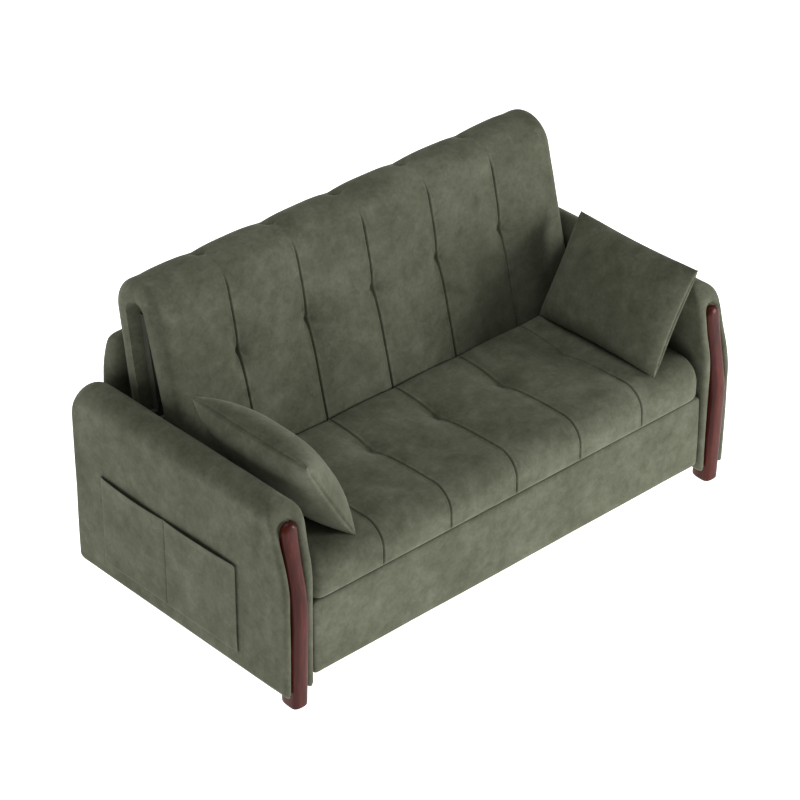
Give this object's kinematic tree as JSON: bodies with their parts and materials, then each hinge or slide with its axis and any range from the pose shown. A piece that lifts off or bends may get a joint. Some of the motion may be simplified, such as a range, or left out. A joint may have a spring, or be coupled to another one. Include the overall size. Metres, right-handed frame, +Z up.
{
  "type": "futon sofa bed",
  "caption": "Sofa whose seat rolls out on casters and whose folded padded back opens flat behind it to make a bed, with padded arms, side pockets and loose pillows.",
  "frame": {"origin": "middle of the footprint, on the floor", "axes": "+X along the sofa's width, to the right of someone facing its front; the front faces -Y; +Z up"},
  "size_m": [1.668, 0.882, 0.941],
  "materials": {
    "velvet": "olive grey velvet with a soft nap",
    "mahogany": "dark red-brown gloss lacquer",
    "plywood": "raw",
    "lining": "board covered in thin dark olive cloth",
    "slat_wood": "planed beech",
    "black_steel": "black powder coat",
    "zinc_steel": "zinc plated",
    "caster_rubber": "satin"
  },
  "bodies": {
    "base": {"left_arm_frame": "plywood", "left_arm_padding": "velvet", "left_wood_post": "mahogany", "left_rear_foot": "slat_wood", "left_side_pocket": "velvet", "left_pivot_bracket": "zinc_steel", "right_arm_frame": "plywood", "right_arm_padding": "velvet", "right_wood_post": "mahogany", "right_rear_foot": "slat_wood", "right_side_pocket": "velvet", "right_pivot_bracket": "zinc_steel", "rear_panel_board": "plywood", "rear_panel_padding": "velvet", "middle_crossbar": "black_steel", "lower_crossbar": "black_steel", "crossbar_bolts": "zinc_steel"},
    "head_section": {"head_board": "lining", "head_pad": "velvet", "left_pivot_link": "zinc_steel", "right_pivot_link": "zinc_steel", "link_screws": "zinc_steel", "head_hinge_leaves": "zinc_steel", "fold_pins": "zinc_steel", "fold_roll": "velvet"},
    "back_section": {"back_board": "lining", "back_pad": "velvet", "back_hinge_leaves": "zinc_steel", "left_hinge_bracket": "zinc_steel", "right_hinge_bracket": "zinc_steel"},
    "folding_leg": {"support_leg": "black_steel"},
    "pull_out": {"seat_cushion": "velvet", "front_padding": "velvet", "front_board": "plywood", "seat_slats": "slat_wood", "seat_front_rail": "black_steel", "seat_rear_rail": "black_steel", "left_seat_side_rail": "black_steel", "right_seat_side_rail": "black_steel", "left_hinge_arm": "black_steel", "right_hinge_arm": "black_steel", "caster_legs": "black_steel", "caster_forks": "zinc_steel", "caster_axles": "zinc_steel"},
    "left_front_wheel": {"left_front_wheel": "caster_rubber"},
    "left_rear_wheel": {"left_rear_wheel": "caster_rubber"},
    "right_front_wheel": {"right_front_wheel": "caster_rubber"},
    "right_rear_wheel": {"right_rear_wheel": "caster_rubber"},
    "left_pillow": {"left_pillow": "velvet"},
    "right_pillow": {"right_pillow": "velvet"}
  },
  "joints": [
    {"name": "head_pivot", "type": "hinge", "parent": "base", "child": "head_section", "pos_m": [0, 0.30242, 0.41399], "axis": [1, 0, 0], "range_deg": [0, 98.5]},
    {"name": "fold_hinge", "type": "hinge", "parent": "head_section", "child": "back_section", "pos_m": [0, 0.276, 0.846], "axis": [1, 0, 0], "range_deg": [-174.51, 0], "deforming": ["fold_roll"]},
    {"name": "seat_hinge", "type": "hinge", "parent": "back_section", "child": "pull_out", "pos_m": [0, 0.16929, 0.294], "axis": [1, 0, 0], "range_deg": [0, 76.01]},
    {"name": "leg_hinge", "type": "hinge", "parent": "head_section", "child": "folding_leg", "pos_m": [0, 0.276, 0.846], "axis": [1, 0, 0], "range_deg": [-87.26, 0]},
    {"name": "left_front_wheel_spin", "type": "hinge", "parent": "pull_out", "child": "left_front_wheel", "pos_m": [-0.675, -0.304, 0.03], "axis": [1, 0, 0], "continuous": true},
    {"name": "left_rear_wheel_spin", "type": "hinge", "parent": "pull_out", "child": "left_rear_wheel", "pos_m": [-0.64, -0.006, 0.03], "axis": [1, 0, 0], "continuous": true},
    {"name": "right_front_wheel_spin", "type": "hinge", "parent": "pull_out", "child": "right_front_wheel", "pos_m": [0.675, -0.304, 0.03], "axis": [1, 0, 0], "continuous": true},
    {"name": "right_rear_wheel_spin", "type": "hinge", "parent": "pull_out", "child": "right_rear_wheel", "pos_m": [0.64, -0.006, 0.03], "axis": [1, 0, 0], "continuous": true},
    {"name": "left_pillow_lift", "type": "slide", "parent": "pull_out", "child": "left_pillow", "axis": [0, 0, 1], "range_m": [0, 0.35]},
    {"name": "right_pillow_lift", "type": "slide", "parent": "pull_out", "child": "right_pillow", "axis": [0, 0, 1], "range_m": [0, 0.35]}
  ],
  "couplings": [
    {"joint": "fold_hinge", "follows": "head_pivot", "ratio": -1.7716},
    {"joint": "seat_hinge", "follows": "head_pivot", "ratio": 0.77157},
    {"joint": "leg_hinge", "follows": "head_pivot", "ratio": -0.88579}
  ]
}
